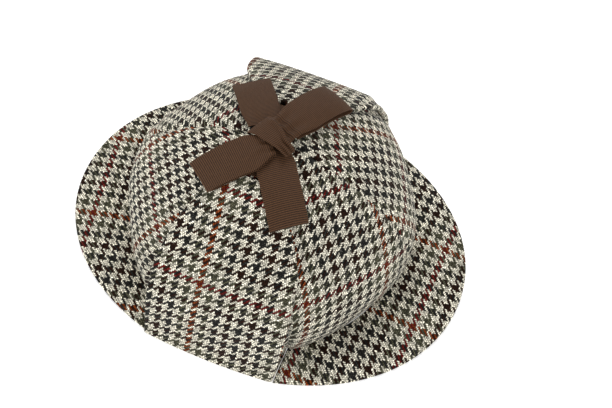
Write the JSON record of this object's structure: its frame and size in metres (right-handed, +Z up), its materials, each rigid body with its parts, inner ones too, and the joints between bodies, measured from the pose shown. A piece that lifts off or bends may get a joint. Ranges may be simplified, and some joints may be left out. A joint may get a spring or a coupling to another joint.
{
  "type": "deerstalker hat",
  "caption": "Tweed deerstalker hat with peaks front and back and ear flaps tied up over the crown with a ribbon bow.",
  "frame": {"origin": "middle of the hat on the surface it stands on", "axes": "+X towards the front peak, +Y towards the wearer's left ear flap, +Z up through the top of the crown"},
  "size_m": [0.2816, 0.2196, 0.1299],
  "materials": {
    "tweed": "woven wool houndstooth tweed, matt and slightly fuzzy",
    "ribbon": "ribbed grosgrain ribbon with a soft sheen"
  },
  "bodies": {
    "root": {"crown_panel_front_left": "tweed", "crown_panel_left": "tweed", "crown_panel_back_left": "tweed", "crown_panel_back_right": "tweed", "crown_panel_right": "tweed", "crown_panel_front_right": "tweed", "peak_front": "tweed", "peak_back": "tweed", "ear_flap_left": "tweed", "ear_flap_right": "tweed", "tie_left": "ribbon", "tie_right": "ribbon", "bow_tail_front": "ribbon", "bow_tail_back": "ribbon", "bow_loop_right": "ribbon", "bow_loop_left": "ribbon", "bow_knot": "ribbon"}
  },
  "joints": []
}
